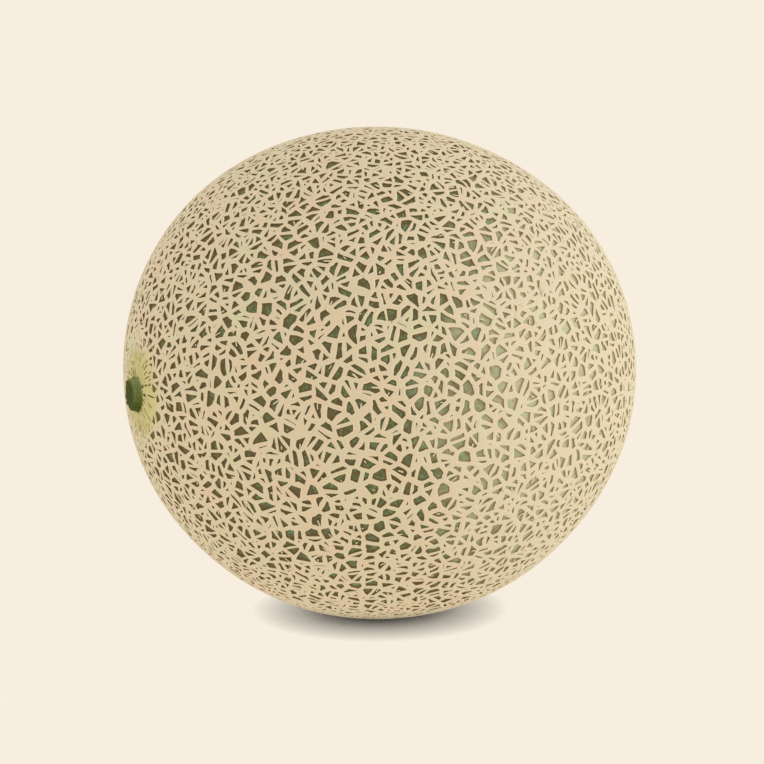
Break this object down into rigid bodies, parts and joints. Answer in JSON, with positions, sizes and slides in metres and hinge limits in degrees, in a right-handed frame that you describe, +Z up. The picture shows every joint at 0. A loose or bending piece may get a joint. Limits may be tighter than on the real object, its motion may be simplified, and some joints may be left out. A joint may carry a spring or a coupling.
{
  "type": "cantaloupe melon",
  "caption": "Whole round netted melon with a short cut stem stub, lying on its side on a small flattened spot of its rind.",
  "frame": {"origin": "on the ground, under the middle of the whole melon's box", "axes": "+Z up; +X along the fruit's long axis, from the stem end at -X to the blossom end at +X; +Y across it"},
  "size_m": [0.1608, 0.153, 0.1523],
  "materials": {
    "netted_rind": "dull corky tan netting, raised about half a millimetre over a smooth green to sage rind",
    "green_stem": "fresh green fibrous stem, matt, paler and greyer above, with a dried cut end"
  },
  "bodies": {
    "root": {"melon": "netted_rind", "stem_stub": "green_stem"}
  },
  "joints": []
}
